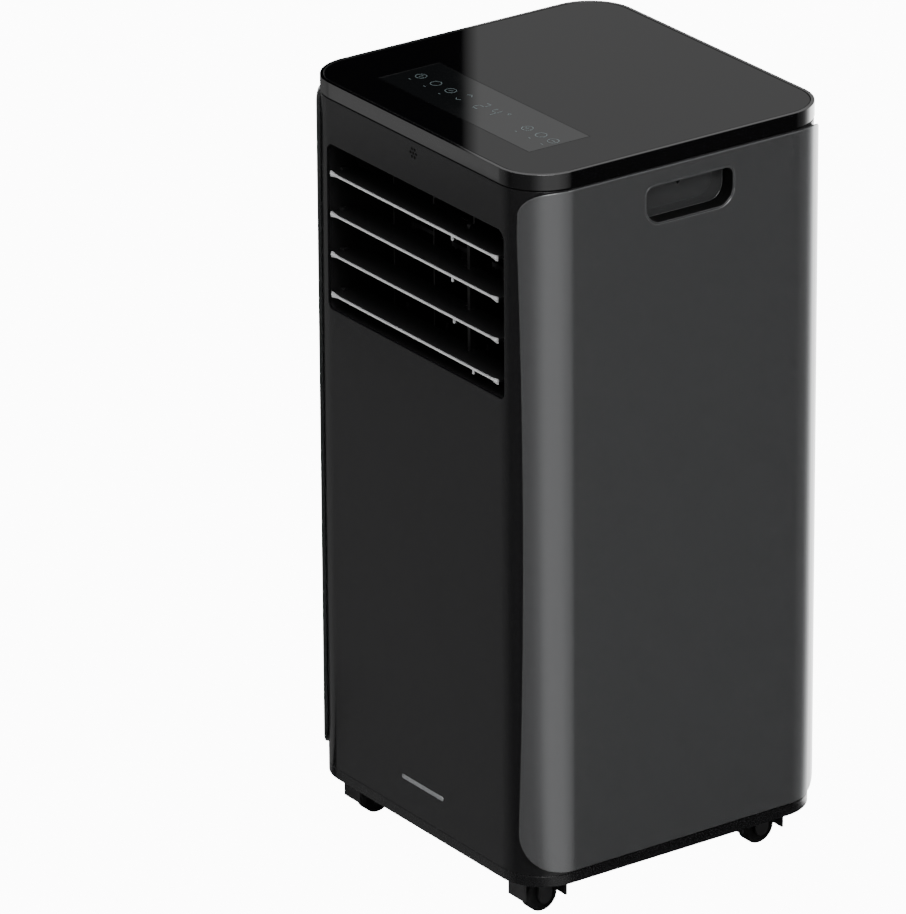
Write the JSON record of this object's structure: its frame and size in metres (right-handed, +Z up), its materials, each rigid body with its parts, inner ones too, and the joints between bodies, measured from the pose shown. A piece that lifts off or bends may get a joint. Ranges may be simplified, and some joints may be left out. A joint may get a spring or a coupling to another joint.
{
  "type": "portable air conditioner",
  "caption": "Upright portable air conditioner on swivel casters with a ganged louver outlet, side carrying recesses, a glass touch lid and a complete cooling unit inside.",
  "frame": {"origin": "on the floor under the middle of the casing, at the casters' lowest points", "axes": "+Z up; the air outlet and the display face -Y; the carrying recesses are at +X and -X; the intakes and the exhaust are at +Y"},
  "size_m": [0.347, 0.322, 0.7],
  "materials": {
    "base_plastic": "fine textured black plastic",
    "housing_plastic": "satin near-black plastic",
    "panel_finish": "dark grey metallic paint on plastic, satin",
    "lid_plastic": "dark grey satin plastic",
    "black_glass": "polished black back-printed glass, opaque",
    "tinted_lens": "smoked lens",
    "circuit_board": "green solder mask",
    "blackened_steel": "blackened steel",
    "deck_plastic": "off-white moulded deck",
    "duct_plastic": "matte black plastic",
    "motor_plastic": "off-white plastic",
    "bright_trim": "bright chrome plate on plastic",
    "coil_aluminium": "bare aluminium fins",
    "foam_board": "expanded foam, black",
    "fan_plastic": "black talc-filled plastic",
    "motor_steel": "zinc-grey steel can",
    "compressor_shell": "black baked paint on steel",
    "foot_rubber": "matt black rubber",
    "copper_tube": "bright copper tube",
    "filter_mesh": "grey nylon mesh",
    "caster_nylon": "satin black nylon",
    "wheel_rubber": "hard black tread"
  },
  "bodies": {
    "casing": {"base_tray": "base_plastic", "front_housing": "housing_plastic", "rear_housing": "housing_plastic", "left_side_panel": "panel_finish", "right_side_panel": "panel_finish", "left_handle_cup": "panel_finish", "right_handle_cup": "panel_finish", "top_cover": "lid_plastic", "top_glass": "black_glass", "display_lens": "tinted_lens", "control_board": "circuit_board", "casing_screws": "blackened_steel", "mid_deck": "deck_plastic", "outlet_duct": "duct_plastic", "swing_motor": "motor_plastic", "evaporator_coil": "coil_aluminium", "blower_scroll": "foam_board", "blower_motor": "motor_steel", "condensate_tray": "fan_plastic", "compressor": "compressor_shell", "compressor_feet": "foot_rubber", "condenser_coil": "coil_aluminium", "exhaust_scroll": "foam_board", "exhaust_motor": "motor_steel", "slinger_motor": "motor_steel", "refrigerant_pipes": "copper_tube", "control_box": "motor_plastic", "lower_grille": "housing_plastic", "exhaust_collar": "duct_plastic", "exhaust_guard": "duct_plastic", "power_gland": "foot_rubber"},
    "louver_1": {"louver_1": "duct_plastic", "louver_trim_1": "bright_trim"},
    "louver_2": {"louver_2": "duct_plastic", "louver_trim_2": "bright_trim"},
    "louver_3": {"louver_3": "duct_plastic", "louver_trim_3": "bright_trim"},
    "louver_4": {"louver_4": "duct_plastic", "louver_trim_4": "bright_trim"},
    "louver_link": {"louver_link": "duct_plastic"},
    "vane_1": {"vane_1": "duct_plastic"},
    "vane_2": {"vane_2": "duct_plastic"},
    "vane_3": {"vane_3": "duct_plastic"},
    "vane_4": {"vane_4": "duct_plastic"},
    "vane_link": {"vane_link": "duct_plastic"},
    "blower_wheel": {"blower_wheel": "fan_plastic"},
    "exhaust_wheel": {"exhaust_wheel": "fan_plastic"},
    "slinger_wheel": {"slinger_wheel": "fan_plastic"},
    "intake_cassette": {"upper_grille": "housing_plastic", "upper_filter": "filter_mesh"},
    "upper_drain_plug": {"upper_drain_plug": "foot_rubber"},
    "lower_drain_plug": {"lower_drain_plug": "foot_rubber"},
    "caster_yoke_1": {"caster_yoke_1": "caster_nylon"},
    "caster_wheel_1": {"caster_wheel_1": "wheel_rubber"},
    "caster_yoke_2": {"caster_yoke_2": "caster_nylon"},
    "caster_wheel_2": {"caster_wheel_2": "wheel_rubber"},
    "caster_yoke_3": {"caster_yoke_3": "caster_nylon"},
    "caster_wheel_3": {"caster_wheel_3": "wheel_rubber"},
    "caster_yoke_4": {"caster_yoke_4": "caster_nylon"},
    "caster_wheel_4": {"caster_wheel_4": "wheel_rubber"}
  },
  "joints": [
    {"name": "louver_1_swing", "type": "hinge", "parent": "casing", "child": "louver_1", "pos_m": [0, -0.1458, 0.616], "axis": [1, 0, 0], "range_deg": [-35, 35]},
    {"name": "louver_2_swing", "type": "hinge", "parent": "casing", "child": "louver_2", "pos_m": [0, -0.1458, 0.5785], "axis": [1, 0, 0], "range_deg": [-35, 35]},
    {"name": "louver_3_swing", "type": "hinge", "parent": "casing", "child": "louver_3", "pos_m": [0, -0.1458, 0.541], "axis": [1, 0, 0], "range_deg": [-35, 35]},
    {"name": "louver_4_swing", "type": "hinge", "parent": "casing", "child": "louver_4", "pos_m": [0, -0.1458, 0.5035], "axis": [1, 0, 0], "range_deg": [-35, 35]},
    {"name": "louver_link_turn", "type": "hinge", "parent": "louver_1", "child": "louver_link", "pos_m": [0.048, -0.1343, 0.616], "axis": [1, 0, 0], "range_deg": [-35, 35]},
    {"name": "vane_1_swing", "type": "hinge", "parent": "casing", "child": "vane_1", "pos_m": [-0.09, -0.1048, 0.567], "axis": [0, 0, 1], "range_deg": [-35, 35]},
    {"name": "vane_2_swing", "type": "hinge", "parent": "casing", "child": "vane_2", "pos_m": [-0.03, -0.1048, 0.567], "axis": [0, 0, 1], "range_deg": [-35, 35]},
    {"name": "vane_3_swing", "type": "hinge", "parent": "casing", "child": "vane_3", "pos_m": [0.03, -0.1048, 0.567], "axis": [0, 0, 1], "range_deg": [-35, 35]},
    {"name": "vane_4_swing", "type": "hinge", "parent": "casing", "child": "vane_4", "pos_m": [0.09, -0.1048, 0.567], "axis": [0, 0, 1], "range_deg": [-35, 35]},
    {"name": "vane_link_turn", "type": "hinge", "parent": "vane_2", "child": "vane_link", "pos_m": [-0.03, -0.0948, 0.567], "axis": [0, 0, 1], "range_deg": [-35, 35]},
    {"name": "blower_spin", "type": "hinge", "parent": "casing", "child": "blower_wheel", "pos_m": [0, 0.0122, 0.548], "axis": [1, 0, 0], "continuous": true},
    {"name": "exhaust_spin", "type": "hinge", "parent": "casing", "child": "exhaust_wheel", "pos_m": [0, 0.0513, 0.34], "axis": [1, 0, 0], "continuous": true},
    {"name": "slinger_spin", "type": "hinge", "parent": "casing", "child": "slinger_wheel", "pos_m": [-0.064, 0.072, 0.073], "axis": [1, 0, 0], "continuous": true},
    {"name": "intake_cassette_tilt", "type": "hinge", "parent": "casing", "child": "intake_cassette", "pos_m": [0, 0.1605, 0.446], "axis": [-1, 0, 0], "range_deg": [0, 60]},
    {"name": "upper_drain_plug_pull", "type": "slide", "parent": "casing", "child": "upper_drain_plug", "axis": [0, 1, 0], "range_m": [0, 0.03]},
    {"name": "lower_drain_plug_pull", "type": "slide", "parent": "casing", "child": "lower_drain_plug", "axis": [0, 1, 0], "range_m": [0, 0.03]},
    {"name": "caster_1_swivel", "type": "hinge", "parent": "casing", "child": "caster_yoke_1", "pos_m": [-0.1255, -0.118, 0.04], "axis": [0, 0, 1], "continuous": true},
    {"name": "caster_1_roll", "type": "hinge", "parent": "caster_yoke_1", "child": "caster_wheel_1", "pos_m": [-0.1255, -0.1215, 0.016], "axis": [1, 0, 0], "continuous": true},
    {"name": "caster_2_swivel", "type": "hinge", "parent": "casing", "child": "caster_yoke_2", "pos_m": [0.1255, -0.118, 0.04], "axis": [0, 0, 1], "continuous": true},
    {"name": "caster_2_roll", "type": "hinge", "parent": "caster_yoke_2", "child": "caster_wheel_2", "pos_m": [0.1255, -0.1215, 0.016], "axis": [1, 0, 0], "continuous": true},
    {"name": "caster_3_swivel", "type": "hinge", "parent": "casing", "child": "caster_yoke_3", "pos_m": [-0.1255, 0.118, 0.04], "axis": [0, 0, 1], "continuous": true},
    {"name": "caster_3_roll", "type": "hinge", "parent": "caster_yoke_3", "child": "caster_wheel_3", "pos_m": [-0.1255, 0.1145, 0.016], "axis": [1, 0, 0], "continuous": true},
    {"name": "caster_4_swivel", "type": "hinge", "parent": "casing", "child": "caster_yoke_4", "pos_m": [0.1255, 0.118, 0.04], "axis": [0, 0, 1], "continuous": true},
    {"name": "caster_4_roll", "type": "hinge", "parent": "caster_yoke_4", "child": "caster_wheel_4", "pos_m": [0.1255, 0.1145, 0.016], "axis": [1, 0, 0], "continuous": true}
  ],
  "couplings": [
    {"joint": "louver_2_swing", "follows": "louver_1_swing", "ratio": 1},
    {"joint": "louver_3_swing", "follows": "louver_1_swing", "ratio": 1},
    {"joint": "louver_4_swing", "follows": "louver_1_swing", "ratio": 1},
    {"joint": "louver_link_turn", "follows": "louver_1_swing", "ratio": -1},
    {"joint": "vane_1_swing", "follows": "vane_2_swing", "ratio": 1},
    {"joint": "vane_3_swing", "follows": "vane_2_swing", "ratio": 1},
    {"joint": "vane_4_swing", "follows": "vane_2_swing", "ratio": 1},
    {"joint": "vane_link_turn", "follows": "vane_2_swing", "ratio": -1}
  ]
}
